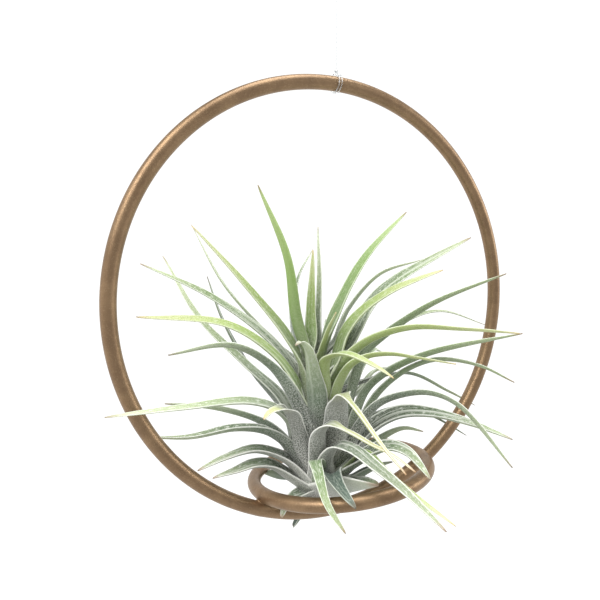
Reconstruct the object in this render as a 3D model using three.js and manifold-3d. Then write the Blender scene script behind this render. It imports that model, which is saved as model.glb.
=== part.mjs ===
// An air plant resting in a small ring inside a large hanging hoop.
// Millimetres, +Z up. The origin is the top of the hoop, where its line holds it.
// The hoop stands in the XZ plane. The plant has a frame of its own: X to its right,
// Y to its back, Z up, with the foot of its stem at zero.
import * as THREE from "three";
import { mergeVertices } from "three/addons/utils/BufferGeometryUtils.js";
import Module from "manifold-3d";

const wasm = await Module();
wasm.setup();

// Driving dimensions
const ROD = 4.76;                 // diameter of the rod of both rings
const HOOP_OUTER = 152.4;         // outer diameter of the hoop
const CRADLE_MID = 63.5;          // diameter of the small ring, to the middle of its rod
const CRADLE_SEAT = [4.9, 4.4, -62.2];   // centre of the small ring, from the hoop's centre
const CRADLE_LEAN = -6.8;         // degrees about X
const CRADLE_TIP = -4;            // degrees about Y
const WELD_RADIUS = 3.1;
const ROD_SIDES = 12;
const RING_STEPS = 48;
const GAP = 0.3;                  // clearance between touching pieces

const LINE = 0.4;                 // diameter of the clear line
const LINE_RISE = 31;             // from the wrap's knot to the loop at the top
const LOOP_HEIGHT = 8;
const LOOP_HALF = 2.6;
const WRAP_TURNS = 2;
const WRAP_PITCH = 1.0;
const KNOT_RADIUS = 0.9;

const PLANT_SEAT = [-3.3, 8.6, -66];     // foot of the stem, from the hoop's centre
const PLANT_TURN = -28.7;         // degrees about Z

// Outline of the stem with the dry leaf bases wrapped round it: height and radius
const STEM = [[-7, 2.2], [-3, 5.2], [3, 7], [20, 6.6], [45, 2.3]];
const STEM_TOP = 47;

const LEAF_STEPS = 14;            // sections along a leaf
const LEAF_BUTT = 1.1;            // thickness at the foot of a leaf
const LEAF_THIN = 0.45;           // thickness towards its tip
const LEAF_RIM = 0.16;            // half the thickness of its edge
const CHANNEL = 0.2;              // rise of the edges over the middle, as a part of the width

const HOOP_R = (HOOP_OUTER - ROD) / 2;
const rad = THREE.MathUtils.degToRad;

// Colours of the leaves, from the young middle to the old scaly base
const TONES = {
  pale: 0xb5cb78,
  green: 0x86a562,
  grey: 0x8f9a8c,
  dark: 0x56705a,
};

// One row to a leaf: name, tone, full width, roll, height of its foot on the stem, and the
// spots that its middle runs through to its tip. The roll is in degrees: above zero it
// turns the upper face to the front, below zero the under face.
const LEAVES = [
  // Upright young leaves in the middle
  ["tall_upright", "green", 4.7, -50, 44,
    [[-5, -4, 52.5], [-6.8, -5.5, 62], [-9.5, -9, 82], [-18.5, -14, 105.5]]],
  ["pale_upright", "pale", 4.8, 40, 45.5, [[-1.8, -1, 53], [-1.8, 0, 64.5], [-1, 3, 84.5]]],
  ["grey_upright", "grey", 3.7, 50, 44, [[1.5, 4, 60.5], [1.5, 8, 75], [0.5, 12, 93.5]]],
  ["back_arc", "grey", 3.2, 40, 45, [[-7.5, 14, 59.5], [-8, 26, 73], [-2.5, 36, 85.5]]],
  ["right_upright", "green", 6, 35, 45, [[8, -1, 62], [18, 1, 81.5], [32.5, 4, 98]]],
  ["young_centre", "pale", 5.2, 30, 43, [[4.6, -7, 55], [7.5, -9.5, 63]]],
  // Right side, from the top down
  ["thin_right", "grey", 4.6, -25, 45,
    [[7.8, 4, 50.5], [9.8, 6, 56.8], [12.5, 8, 62.5], [24, 14, 75], [41.5, 22, 81]]],
  ["red_tip", "green", 5.8, 42, 38,
    [[9.5, -0.5, 45.5], [12.5, -0.5, 50], [15, 0, 55.3], [18.8, 2, 62.3], [23.5, 3.5, 68.4],
     [29.5, 5, 73.2], [37, 6, 78], [56.5, 8, 89]]],
  ["mid_right", "pale", 6.4, 38, 32,
    [[7, -4, 40], [8.9, -4.5, 47.5], [11.2, -4.5, 55], [17, -6, 63], [26, -9, 70], [34, -11, 74],
     [42.5, -12, 77.5]]],
  ["over_hoop_right", "green", 5.8, -35, 14,
    [[12, 2, 21], [13.5, 2, 29], [15.7, 3, 37.5], [18.7, 4, 46], [25.5, 5, 52.5], [43, 6, 64.5],
     [67.5, 2, 76]]],
  ["thin_arch", "grey", 3.5, 15, 35, [[33.5, 18, 56], [50, 26, 60], [69.5, 32, 54]]],
  ["long_arch", "pale", 6.2, -28, 26,
    [[6.5, -5, 36], [10.5, -5.5, 44], [14.6, -6, 49], [21, -8.5, 54], [32.5, -12, 58], [49.5, -14, 58],
     [67, -14, 57]]],
  ["brown_tip", "pale", 5.6, -22, 20,
    [[8, -7.5, 33], [10, -8, 39.5], [13.2, -8.3, 44.5], [18.5, -8.7, 47.5], [26, -10, 48.7],
     [34, -13, 48.3], [46.5, -16, 47]]],
  ["low_over_hoop", "green", 6.6, -35, 9,
    [[13, 0, 16.5], [15.5, 2, 23.5], [19.5, 4, 32.5], [26.5, 4, 39], [40.5, 2, 46.5], [73, 0, 55]]],
  ["white_edge_arch", "green", 6.6, -20, 5,
    [[13, 1, 11], [17, 4, 19], [23.5, 6, 30.5], [33.5, 6, 39.5], [44.5, 5, 44], [59, 4, 42.5],
     [71.5, 2, 37]]],
  ["thin_behind", "grey", 3.4, -20, 28, [[34.5, 18, 36], [53.5, 26, 27], [66, 31, 20]]],
  ["grey_behind", "grey", 5.2, -25, 20, [[17, 18, 28.5], [24, 26, 35], [35, 34, 34.5]]],
  ["right_drop", "grey", 6.2, -20, 4,
    [[12.5, -5, 11], [16.5, -6, 21], [22.5, -7, 30], [31.5, -9, 34.5], [40, -11, 35.5],
     [48, -14, 32.5], [64, -20, 14.5]]],
  ["dark_thin", "dark", 3.4, -20, 12, [[31, 16, 22.5], [45.5, 22, 18], [62, 28, 8]]],
  ["grey_spread", "grey", 8, 18, 1,
    [[13, -1, 6.5], [17, 0, 13], [22.5, 1, 19.5], [31, 0, 24.5], [41.5, -2, 25.5], [54, -5, 23.5],
     [68, -8, 19.5]]],
  ["short_dark", "dark", 6.2, -30, -2,
    [[13, 2, 2.5], [19, 4, 8.5], [25.5, 6, 13.5], [33, 6, 17.5], [40, 4, 17.5]]],
  ["speckled", "grey", 7, 20, 0,
    [[11, -8, 6], [19, -11, 13], [23.5, -13, 16.5], [27.5, -15.5, 18], [31.5, -18, 17],
     [34.5, -21, 14.5], [37.5, -24, 11.5]]],
  ["dark_stub", "dark", 7.5, -20, -3, [[14, 0.5, -1], [19.5, 1, 2.5], [25, 1, 5.5], [28.5, 1, 6.8]]],
  // Left side, from the top down
  ["left_tall", "pale", 5.8, 30, 34,
    [[-5.3, -3.5, 43.5], [-10.5, -4, 54], [-26, -7, 74], [-42, -10, 92.5]]],
  ["left_thin", "grey", 3.9, -25, 38, [[-18.5, 10, 51.5], [-37.5, 15, 72], [-50.5, 19, 95]]],
  ["left_third", "green", 5.8, 25, 24,
    [[-5.5, -2, 32], [-9.5, -1, 42.5], [-19, 0, 53.5], [-38, -2, 67.5], [-62, -6, 79.5]]],
  ["left_bright", "pale", 6.4, 35, 20,
    [[-3.5, -6.5, 27.5], [-8, -8, 39.5], [-14.5, -10, 48.5], [-29, -18, 59.5], [-55, -28, 63]]],
  ["left_droop", "grey", 6.6, -25, 14,
    [[-4, -8.5, 23], [-8.5, -10.5, 34.5], [-15.5, -12, 44.5], [-27, -20, 52.5], [-45, -28, 51]]],
  ["left_fine", "green", 4.8, 25, 12,
    [[-8, -0.5, 18.5], [-13.5, 3, 29.5], [-27.5, 8, 41], [-46, 12, 58], [-61.5, 16, 82.5]]],
  ["left_blue", "dark", 5, -35, 9,
    [[-8.5, 1, 14.5], [-12.5, 6, 23], [-27, 14.5, 38], [-39.5, 22, 57], [-46.5, 27, 74]]],
  ["long_left", "pale", 5.4, 25, 8,
    [[-5.5, -9.5, 13.5], [-8.5, -14, 25], [-12.5, -18, 31], [-20.5, -25, 35.5], [-38, -38, 37],
     [-57.5, -46, 36.5]]],
  ["left_back", "grey", 6.2, -25, 3,
    [[-8, -4, 8], [-11, -5, 14], [-18, -7.5, 22.5], [-32, -12.5, 29], [-50, -18, 32.5]]],
  ["left_mid", "grey", 7.6, -5, 1,
    [[-6, -8.5, 9], [-8.5, -10, 14], [-12, -12, 18.5], [-17, -14, 22], [-26, -18, 24],
     [-39.5, -24, 23], [-50.5, -30, 25]]],
  ["left_low", "grey", 7.8, 12, -3,
    [[-4.5, -8, 2.5], [-8, -10, 8.5], [-12.5, -12, 12.5], [-20, -16, 16], [-28.5, -21.5, 15.5],
     [-36.5, -27, 13.5]]],
  ["left_lowest", "grey", 7.8, 12, -5,
    [[-4, -7, -1], [-9.5, -10, 4.5], [-15, -13, 9.5], [-20, -16, 11], [-25.5, -20, 10.5],
     [-32, -25.5, 10.5]]],
  ["under_dark", "dark", 8, -45, -4, [[-9, 3, -2], [-15.5, 7, -3], [-20.5, 10, -3]]],
  // Front leaves, most of them folded over the small ring
  ["yellow_arch", "pale", 5.6, 0, 26,
    [[3.8, -9.5, 32.5], [3.8, -11.5, 37], [3.8, -13, 43.5], [4.6, -14.5, 47], [6.5, -17, 49],
     [9.5, -20.5, 50.5], [13, -24, 50.5], [20.5, -30, 48], [24.5, -33, 46]]],
  ["broad_front", "grey", 6.4, 0, 15,
    [[1.5, -10, 22], [0.6, -13.5, 29.5], [0.2, -14.5, 36.5], [-0.5, -15.5, 42], [-1.2, -17, 47.5],
     [-2, -18.5, 51.5], [-3.8, -20, 54], [-5.5, -22, 53.5]]],
  ["yellow_end", "grey", 8.4, -5, 7,
    [[8, -11, 15], [9.6, -14, 26], [9.6, -16.5, 33.8], [10, -20, 37.3], [13.4, -24.5, 34.3],
     [21.6, -33, 25], [28, -37, 18.5]]],
  ["folded_low", "grey", 6.4, 14, 1,
    [[3.2, -12, 8.5], [3.4, -16, 16.5], [3.6, -19, 24.3], [6.2, -21.5, 28], [11.5, -25, 26.8],
     [19, -30.5, 24.5], [25, -33, 22.5], [31, -35, 18.5]]],
  ["yellow_curl", "grey", 6, 5, 2,
    [[-2.5, -11.5, 9.5], [-5, -14, 15.5], [-6.5, -17, 23.5], [-8, -20, 29.5], [-10, -24, 33.6],
     [-13, -27, 33], [-15, -28, 31]]],
  ["front_long", "grey", 6.4, 10, -2,
    [[5.5, -12, 5.5], [5.5, -16, 13.5], [8.5, -20, 20], [12.5, -24, 21], [19.5, -29, 17],
     [26.5, -35, 13.5], [38.5, -43, 5]]],
  ["front_pale", "pale", 4.4, 15, 0,
    [[10.5, -9, 7], [17, -13, 15], [24, -22, 12], [32.5, -31, 8.5], [42.5, -37, 3.5]]],
  ["front_hang", "green", 4.8, 0, -4,
    [[2.5, -10, 0], [2.3, -17, 11], [1, -24.5, 16.6], [1.8, -28, 15.5], [3.3, -33, 12],
     [5.3, -37.5, 8.5], [10.5, -40.5, 2]]],
  ["front_dark", "dark", 6.4, 0, -4,
    [[5.5, -12, 3], [6.5, -19, 9.5], [6.3, -25, 12], [8, -30.5, 11.5], [10.5, -35.5, 10.5],
     [13.5, -38.5, 8.5]]],
  ["broad_stub", "grey", 13, -12, -4,
    [[8.5, -10.5, -1], [12, -14, 2], [16, -17, 4.5], [21.5, -20.5, 7.5]]],
  ["tip_front", "dark", 5.5, 0, -4,
    [[-2.5, -9.5, -1.5], [-6, -13.5, -1], [-8.7, -17.5, -2], [-10.2, -20.5, -4.5]]],
  ["tip_below", "dark", 4.4, 0, -5, [[-3, -6, -7], [-5, -7, -11.5], [-7.5, -6, -15.5]]],
  // Back leaves
  ["back_small", "grey", 4, -30, 36, [[-9.5, 18, 51], [-12.5, 34, 62]]],
  ["back_high", "grey", 5.2, 0, 27, [[3, 14, 38], [4, 24, 48], [4, 38, 54], [2, 56, 50]]],
  ["back_right", "green", 6, 20, 14, [[8, 11, 20], [14, 18, 32], [22, 32, 42], [30, 52, 38]]],
  ["back_left", "grey", 6, -20, 10, [[-5, 11, 15], [-9, 18, 27], [-14, 34, 38], [-18, 54, 34]]],
  ["back_low", "dark", 6.4, 0, 3, [[2, 12, 7], [3, 19, 15], [6, 34, 22], [8, 52, 17]]],
];

// ---------------------------------------------------------------- solids and meshes

function solidOf(geometry) {
  const bare = geometry.index ? geometry.clone() : geometry;
  bare.deleteAttribute("normal");
  bare.deleteAttribute("uv");
  const merged = mergeVertices(bare, 1e-4);
  return new wasm.Manifold(new wasm.Mesh({
    numProp: 3,
    vertProperties: new Float32Array(merged.attributes.position.array),
    triVerts: new Uint32Array(merged.index.array),
  }));
}

function geometryOf(solid) {
  const mesh = solid.getMesh();
  const geometry = new THREE.BufferGeometry();
  geometry.setAttribute("position", new THREE.BufferAttribute(mesh.vertProperties, 3));
  geometry.setIndex(new THREE.BufferAttribute(mesh.triVerts, 1));
  geometry.computeVertexNormals();
  return geometry;
}

function largestPiece(solid) {
  const pieces = solid.decompose();
  pieces.sort((a, b) => b.volume() - a.volume());
  return pieces[0];
}

function named(name, geometry, color, roughness, metalness) {
  const material = new THREE.MeshStandardMaterial({ color, roughness, metalness });
  const mesh = new THREE.Mesh(geometry, material);
  mesh.name = name;
  return mesh;
}

// ---------------------------------------------------------------- hoop, small ring and welds

// A ring of rod, bent round the Z axis
function rodRing(midRadius, rod) {
  return new THREE.TorusGeometry(midRadius, rod / 2, ROD_SIDES, RING_STEPS);
}

const hoopPlace = new THREE.Matrix4().makeRotationX(Math.PI / 2);
const cradlePlace = new THREE.Matrix4()
  .makeTranslation(...CRADLE_SEAT)
  .multiply(new THREE.Matrix4().makeRotationX(rad(CRADLE_LEAN)))
  .multiply(new THREE.Matrix4().makeRotationY(rad(CRADLE_TIP)));

// The spot half way between the two rods where they come nearest, left (-1) or right (1)
function crossing(side) {
  let best = { distance: Infinity };
  for (let i = 0; i < 360; i += 1) {
    const a = rad(i / 2 + (side > 0 ? -90 : 90));
    const onHoop = new THREE.Vector3(Math.cos(a), Math.sin(a), 0)
      .multiplyScalar(HOOP_R).applyMatrix4(hoopPlace);
    for (let j = 0; j < 360; j += 1) {
      const b = rad(j);
      const onCradle = new THREE.Vector3(Math.cos(b), Math.sin(b), 0)
        .multiplyScalar(CRADLE_MID / 2).applyMatrix4(cradlePlace);
      const distance = onHoop.distanceTo(onCradle);
      if (distance < best.distance) {
        best = { distance, middle: onHoop.clone().lerp(onCradle, 0.5) };
      }
    }
  }
  return best.middle;
}

function rodSolid(place, midRadius, grown) {
  return solidOf(rodRing(midRadius, ROD + 2 * grown).applyMatrix4(place));
}

// The small ring is notched a little where it is welded on the hoop's rod
function cradleGeometry() {
  const ring = rodSolid(cradlePlace, CRADLE_MID / 2, 0);
  return geometryOf(ring.subtract(rodSolid(hoopPlace, HOOP_R, GAP)));
}

function weldGeometry(side) {
  const bead = new THREE.SphereGeometry(WELD_RADIUS, 16, 10);
  bead.translate(...crossing(side).toArray());
  const solid = solidOf(bead)
    .subtract(rodSolid(hoopPlace, HOOP_R, GAP))
    .subtract(rodSolid(cradlePlace, CRADLE_MID / 2, GAP));
  return geometryOf(largestPiece(solid));
}

// ---------------------------------------------------------------- hanging line

function tube(points, diameter, steps) {
  const path = new THREE.CatmullRomCurve3(points);
  const section = new THREE.Shape();
  section.absarc(0, 0, diameter / 2, 0, 2 * Math.PI);
  const settings = { steps, curveSegments: 8, extrudePath: path, bevelEnabled: false };
  return new THREE.ExtrudeGeometry(section, settings);
}

const WRAP_R = ROD / 2 + GAP + LINE / 2;
const WRAP_TOP = WRAP_R - ROD / 2;            // middle of the wrap over the rod's top
const KNOT_Z = WRAP_TOP + KNOT_RADIUS;        // the knot sits down into the wrap

function wrapPoints() {
  const points = [];
  const steps = 12 * WRAP_TURNS;
  for (let i = 0; i <= steps; i += 1) {
    const a = (i / steps) * WRAP_TURNS * 2 * Math.PI;
    const x = (i / steps - 0.5) * WRAP_PITCH * WRAP_TURNS;
    points.push(new THREE.Vector3(x, Math.sin(a) * WRAP_R, Math.cos(a) * WRAP_R - ROD / 2));
  }
  return points;
}

function wrapGeometry() {
  const wrap = solidOf(tube(wrapPoints(), LINE, 12 * WRAP_TURNS));
  const knot = solidOf(new THREE.SphereGeometry(KNOT_RADIUS, 10, 8).translate(0, 0, KNOT_Z));
  return geometryOf(wrap.add(knot));
}

// Straight up from the knot, then round a tied loop
const LINE_FOOT = KNOT_Z + KNOT_RADIUS + GAP;
const LOOP_FOOT = LINE_FOOT + LINE_RISE;

function lineRoute() {
  const rise = [0, 0.25, 0.5, 0.75, 0.95].map((part) => [0, LINE_FOOT + part * LINE_RISE]);
  const half = [[0, 0], [0.8, 0.3], [1, 0.65], [0.6, 0.93]];
  const back = [[-0.6, 0.93], [-1, 0.65], [-0.8, 0.3], [-0.2, 0.04]];
  const loop = [...half, [0, 1], ...back]
    .map(([across, up]) => [across * LOOP_HALF, LOOP_FOOT + up * LOOP_HEIGHT]);
  return [...rise, ...loop].map(([x, z]) => new THREE.Vector3(x, 0, z));
}

function lineGeometry() {
  const line = solidOf(tube(lineRoute(), LINE, 64));
  const knot = solidOf(new THREE.SphereGeometry(KNOT_RADIUS, 10, 8).translate(0, 0, LOOP_FOOT));
  return geometryOf(line.add(knot));
}

// ---------------------------------------------------------------- plant

function stemGeometry(grown) {
  const points = [
    new THREE.Vector2(0, STEM[0][0]),
    ...STEM.map(([height, radius]) => new THREE.Vector2(radius + grown, height)),
    new THREE.Vector2(0, STEM_TOP),
  ];
  return new THREE.LatheGeometry(points, 16).rotateX(Math.PI / 2);
}

function stemRadiusAt(height) {
  const above = STEM.findIndex(([top]) => top > height);
  if (above < 1) {
    return STEM.at(above)[1];
  }
  const [[low, wide], [high, narrow]] = STEM.slice(above - 1, above + 1);
  return THREE.MathUtils.mapLinear(height, low, high, wide, narrow);
}

// Middle line of a leaf: from the side of the stem that faces its first spot
function leafSpine(foot, spots) {
  const first = new THREE.Vector3(...spots[0]);
  const side = new THREE.Vector3(first.x, first.y, 0).normalize();
  const start = side.multiplyScalar(stemRadiusAt(foot) + GAP + LEAF_BUTT / 2).setZ(foot);
  const points = [start, ...spots.map((spot) => new THREE.Vector3(...spot))];
  return new THREE.CatmullRomCurve3(points, false, "centripetal");
}

function leafWidth(part, width) {
  return width * Math.min(1, 0.55 + 3 * part) * (1 - part) ** 0.7;
}

// A leaf is a row of shallow channels that narrow to its point. Its width lies level but for
// its roll.
function leafSolid([, , width, roll, foot, spots], grown) {
  const spine = leafSpine(foot, spots);
  const start = spine.getPoint(0);
  const end = spine.getPoint(1);
  const level = new THREE.Vector3(-(end.y - start.y), end.x - start.x, 0).normalize();
  const vertices = [];
  for (let i = 0; i < LEAF_STEPS; i += 1) {
    const part = i / LEAF_STEPS;
    const middle = spine.getPointAt(part);
    const along = spine.getTangentAt(part);
    const across = level.clone().addScaledVector(along, -level.dot(along)).normalize()
      .applyAxisAngle(along, rad(end.x > start.x ? roll : -roll));
    const inward = along.clone().cross(across);
    if (i === 0) {
      middle.addScaledVector(along, -grown);
    }
    const half = leafWidth(part, width) / 2;
    const rise = 2 * half * CHANNEL;
    const thick = THREE.MathUtils.lerp(LEAF_BUTT, LEAF_THIN, part) / 2 + 1.2 * grown;
    const rim = LEAF_RIM + grown;
    const edge = half + grown;
    const section = [
      [-edge, rise + rim], [-edge, rise - rim], [0, -thick],
      [edge, rise - rim], [edge, rise + rim], [0, thick],
    ];
    for (const [u, v] of section) {
      vertices.push(middle.clone().addScaledVector(across, u).addScaledVector(inward, v));
    }
  }
  const tip = vertices.length;
  vertices.push(end.clone().addScaledVector(spine.getTangentAt(1), 2 * grown));
  const faces = [2, 1, 0, 5, 2, 0, 4, 2, 5, 4, 3, 2];
  for (let i = 0; i < LEAF_STEPS; i += 1) {
    for (let k = 0; k < 6; k += 1) {
      const a = 6 * i + k;
      const b = 6 * i + (k + 1) % 6;
      if (i === LEAF_STEPS - 1) {
        faces.push(a, b, tip);
      } else {
        faces.push(a, b, b + 6, a, b + 6, a + 6);
      }
    }
  }
  const geometry = new THREE.BufferGeometry().setFromPoints(vertices);
  geometry.setIndex(faces);
  return solidOf(geometry);
}

function boxesMeet(a, b) {
  const p = a.boundingBox();
  const q = b.boundingBox();
  return [0, 1, 2].every((k) => p.min[k] <= q.max[k] && q.min[k] <= p.max[k]);
}

// ---------------------------------------------------------------- assembly

const GOLD = 0xa98a63;

const object = new THREE.Group();

const frame = new THREE.Group();
frame.position.set(0, 0, -HOOP_OUTER / 2);
object.add(frame);

const hoop = named("hoop", rodRing(HOOP_R, ROD), GOLD, 0.45, 0.7);
hoop.applyMatrix4(hoopPlace);
frame.add(hoop);
frame.add(named("cradle_ring", cradleGeometry(), GOLD, 0.45, 0.7));
frame.add(named("weld_left", weldGeometry(-1), GOLD, 0.5, 0.7));
frame.add(named("weld_right", weldGeometry(1), GOLD, 0.5, 0.7));

const clear = [0xdfe4e6, 0.2, 0];
object.add(named("line_wrap", wrapGeometry(), ...clear));
object.add(named("hanging_line", lineGeometry(), ...clear));

const plant = new THREE.Group();
plant.position.set(...PLANT_SEAT);
plant.rotation.set(0, 0, rad(PLANT_TURN));
frame.add(plant);
plant.updateMatrix();
const toPlant = plant.matrix.clone().invert();

plant.add(named("stem", stemGeometry(0), 0x8c8a72, 0.9, 0));

// Each leaf is cut clear of the stem, the rods and the leaves that stand inside it
const kept = [
  solidOf(stemGeometry(GAP)),
  rodSolid(toPlant.clone().multiply(hoopPlace), HOOP_R, GAP),
  rodSolid(toPlant.clone().multiply(cradlePlace), CRADLE_MID / 2, GAP),
];
for (const leaf of LEAVES) {
  let solid = leafSolid(leaf, 0);
  for (const other of kept) {
    if (boxesMeet(solid, other)) {
      solid = solid.subtract(other);
    }
  }
  kept.push(leafSolid(leaf, GAP));
  const [name, tone] = leaf;
  plant.add(named(`leaf_${name}`, geometryOf(largestPiece(solid)), TONES[tone], 0.8, 0));
}

export default object;
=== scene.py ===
import math

import bpy
import numpy as np
from mathutils import Matrix, Vector


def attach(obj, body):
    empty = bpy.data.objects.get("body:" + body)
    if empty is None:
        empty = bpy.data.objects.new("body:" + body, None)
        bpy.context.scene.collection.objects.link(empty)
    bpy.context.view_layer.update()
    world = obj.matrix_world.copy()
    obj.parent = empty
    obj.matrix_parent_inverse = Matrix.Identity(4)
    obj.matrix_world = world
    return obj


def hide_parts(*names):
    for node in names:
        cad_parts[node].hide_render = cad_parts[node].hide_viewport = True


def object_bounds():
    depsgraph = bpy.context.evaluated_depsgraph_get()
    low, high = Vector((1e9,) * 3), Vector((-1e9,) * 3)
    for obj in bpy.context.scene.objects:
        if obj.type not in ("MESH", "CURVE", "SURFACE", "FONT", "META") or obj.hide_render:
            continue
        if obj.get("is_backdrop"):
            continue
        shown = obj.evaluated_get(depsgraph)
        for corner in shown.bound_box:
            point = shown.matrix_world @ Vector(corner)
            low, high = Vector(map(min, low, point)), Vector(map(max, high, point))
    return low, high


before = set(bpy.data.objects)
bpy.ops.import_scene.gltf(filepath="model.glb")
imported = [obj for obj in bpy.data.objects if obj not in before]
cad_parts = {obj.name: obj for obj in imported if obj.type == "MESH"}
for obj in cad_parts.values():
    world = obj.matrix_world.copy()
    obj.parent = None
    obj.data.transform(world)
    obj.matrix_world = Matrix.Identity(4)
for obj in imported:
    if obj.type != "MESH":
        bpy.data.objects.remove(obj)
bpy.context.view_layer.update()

# ---------------------------------------------------------------------------
# Camera
# A short lens close to the hoop, a little above the hoop's middle and well to
# its left, so that the hoop shows as an upright ellipse.

eye = Vector((-0.0834, -0.1524, -0.0618))
aim = Vector((-0.0108, 0.0055, -0.0753))
camera = bpy.data.objects.new("camera", bpy.data.cameras.new("camera"))
camera.data.sensor_width = 36
camera.data.lens = 30
camera.data.clip_start = 0.01
camera.location = eye
camera.rotation_euler = (aim - eye).to_track_quat("-Z", "Y").to_euler()
bpy.context.scene.collection.objects.link(camera)
bpy.context.scene.camera = camera

# ---------------------------------------------------------------------------
# Clear line
# Nylon monofilament 0.4 mm thick, drawn and left glossy. It is wound twice
# round the top of the hoop, knotted, and pulled straight up to a tied loop
# that goes over a hook.

MM = 0.001
ROD = 4.76 * MM
GAP = 0.3 * MM
LINE = 0.4 * MM
LINE_STEPS = 160
SPAN_STEPS = 24
WRAP_TURNS = 2
WRAP_PITCH = 1.0 * MM
STEPS_A_TURN = 24
KNOT_RADIUS = 0.9 * MM
KNOT_STEPS = 72
KNOT_SIDES = 8
KNOT_DEPTH = 1.1
# The trefoil reaches 3 units from its middle, and this leaves a little slack
TREFOIL_REACH = 3.2
LINE_RISE = 31 * MM
LOOP_HEIGHT = 8 * MM
LOOP_HALF = 2.6 * MM


def smooth_path(points, steps):
    """A centripetal Catmull-Rom curve through the points, as evenly spaced places."""
    p = np.array(points, float)
    p = np.vstack([2 * p[0] - p[1], p, 2 * p[-1] - p[-2]])
    fine = [p[1]]
    for a, b, c, d in zip(p, p[1:], p[2:], p[3:]):
        t0, t1, t2, t3 = np.cumsum([0] + [np.linalg.norm(k) ** 0.5 for k in (b - a, c - b, d - c)])
        for t in np.linspace(t1, t2, SPAN_STEPS + 1)[1:]:
            ab = (a * (t1 - t) + b * (t - t0)) / (t1 - t0)
            bc = (b * (t2 - t) + c * (t - t1)) / (t2 - t1)
            cd = (c * (t3 - t) + d * (t - t2)) / (t3 - t2)
            abc = (ab * (t2 - t) + bc * (t - t0)) / (t2 - t0)
            bcd = (bc * (t3 - t) + cd * (t - t1)) / (t3 - t1)
            fine.append((abc * (t2 - t) + bcd * (t - t1)) / (t2 - t1))
    fine = np.array(fine)
    run = np.concatenate([[0], np.cumsum(np.linalg.norm(np.diff(fine, axis=0), axis=1))])
    even = np.linspace(0, run[-1], steps + 1)
    return np.stack([np.interp(even, run, fine[:, k]) for k in range(3)], axis=1)


def linear(hex_colour):
    """An sRGB hex colour as the linear colour that a shader takes."""
    parts = [int(hex_colour[i:i + 2], 16) / 255 for i in (1, 3, 5)]
    return [c / 12.92 if c <= 0.04045 else ((c + 0.055) / 1.055) ** 2.4 for c in parts] + [1]


def add(tree, kind, inputs=None, **settings):
    """Adds a shader node with its settings; each input is a value or a socket."""
    node = tree.nodes.new("ShaderNode" + kind)
    for name, value in settings.items():
        setattr(node, name, value)
    for name, value in (inputs or {}).items():
        if isinstance(value, bpy.types.NodeSocket):
            tree.links.new(value, node.inputs[name])
        else:
            node.inputs[name].default_value = value
    return node


def new_material(name):
    """A material with no nodes yet."""
    material = bpy.data.materials.new(name)
    material.use_nodes = True
    material.node_tree.nodes.clear()
    return material


# Nylon: clear, colourless, IOR 1.53. The drawn thread has faint waves, 1.2 mm
# long, so it glints in short dashes.
nylon = new_material("clear nylon")
tree = nylon.node_tree
where = add(tree, "TexCoord").outputs["Object"]
waves = add(tree, "TexNoise", {"Vector": where, "Scale": 1 / (1.2 * MM), "Detail": 1})
bump = add(tree, "Bump", {"Height": waves.outputs["Fac"], "Distance": 0.05 * MM, "Strength": 0.4})
shader = add(tree, "BsdfPrincipled", {
    "Base Color": linear("#eef1f2"),
    "Roughness": 0.06,
    "IOR": 1.53,
    "Transmission Weight": 0.92,
    "Normal": bump.outputs["Normal"],
})
add(tree, "OutputMaterial", {"Surface": shader.outputs["BSDF"]})


def thread(name, points):
    """A length of the line along the points, as a round curve."""
    curve = bpy.data.curves.new(name, "CURVE")
    curve.dimensions = "3D"
    curve.bevel_depth = LINE / 2
    curve.bevel_resolution = 3
    curve.use_fill_caps = True
    spline = curve.splines.new("POLY")
    spline.points.add(len(points) - 1)
    spline.points.foreach_set("co", np.c_[points, np.ones(len(points))].ravel())
    curve.materials.append(nylon)
    obj = bpy.data.objects.new(name, curve)
    bpy.context.scene.collection.objects.link(obj)
    return obj


def mesh_object(name, points, faces, material):
    """A smooth-shaded mesh object."""
    mesh = bpy.data.meshes.new(name)
    mesh.from_pydata([tuple(p) for p in points], [], faces)
    mesh.shade_smooth()
    mesh.materials.append(material)
    obj = bpy.data.objects.new(name, mesh)
    bpy.context.scene.collection.objects.link(obj)
    return obj


def ring_faces(rings, sides, closed=False, capped=True):
    """Faces between neighbouring rings of points, and over the two ends."""
    faces = []
    for i in range(rings if closed else rings - 1):
        j = (i + 1) % rings
        for k in range(sides):
            n = (k + 1) % sides
            faces.append((i * sides + k, i * sides + n, j * sides + n, j * sides + k))
    if capped:
        faces.append(tuple(range(sides))[::-1])
        faces.append(tuple((rings - 1) * sides + k for k in range(sides)))
    return faces


def tube(path, radius, sides, closed=False):
    """Points and faces of a round tube along a path. An open one has flat ends."""
    path = np.array(path)
    ahead = np.roll(path, -1, axis=0) - np.roll(path, 1, axis=0)
    if not closed:
        ahead[0], ahead[-1] = path[1] - path[0], path[-1] - path[-2]
    ahead /= np.linalg.norm(ahead, axis=1)[:, None]
    side = np.cross(ahead[0], (0, 0, 1) if abs(ahead[0][2]) < 0.9 else (1, 0, 0))
    radius = np.broadcast_to(radius, len(path))
    points = []
    for place, way, r in zip(path, ahead, radius):
        side = side - way * (side @ way)
        side /= np.linalg.norm(side)
        other = np.cross(way, side)
        for k in range(sides):
            a = 2 * math.pi * k / sides
            points.append(place + r * (math.cos(a) * side + math.sin(a) * other))
    return points, ring_faces(len(path), sides, closed, capped=not closed)


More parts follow.
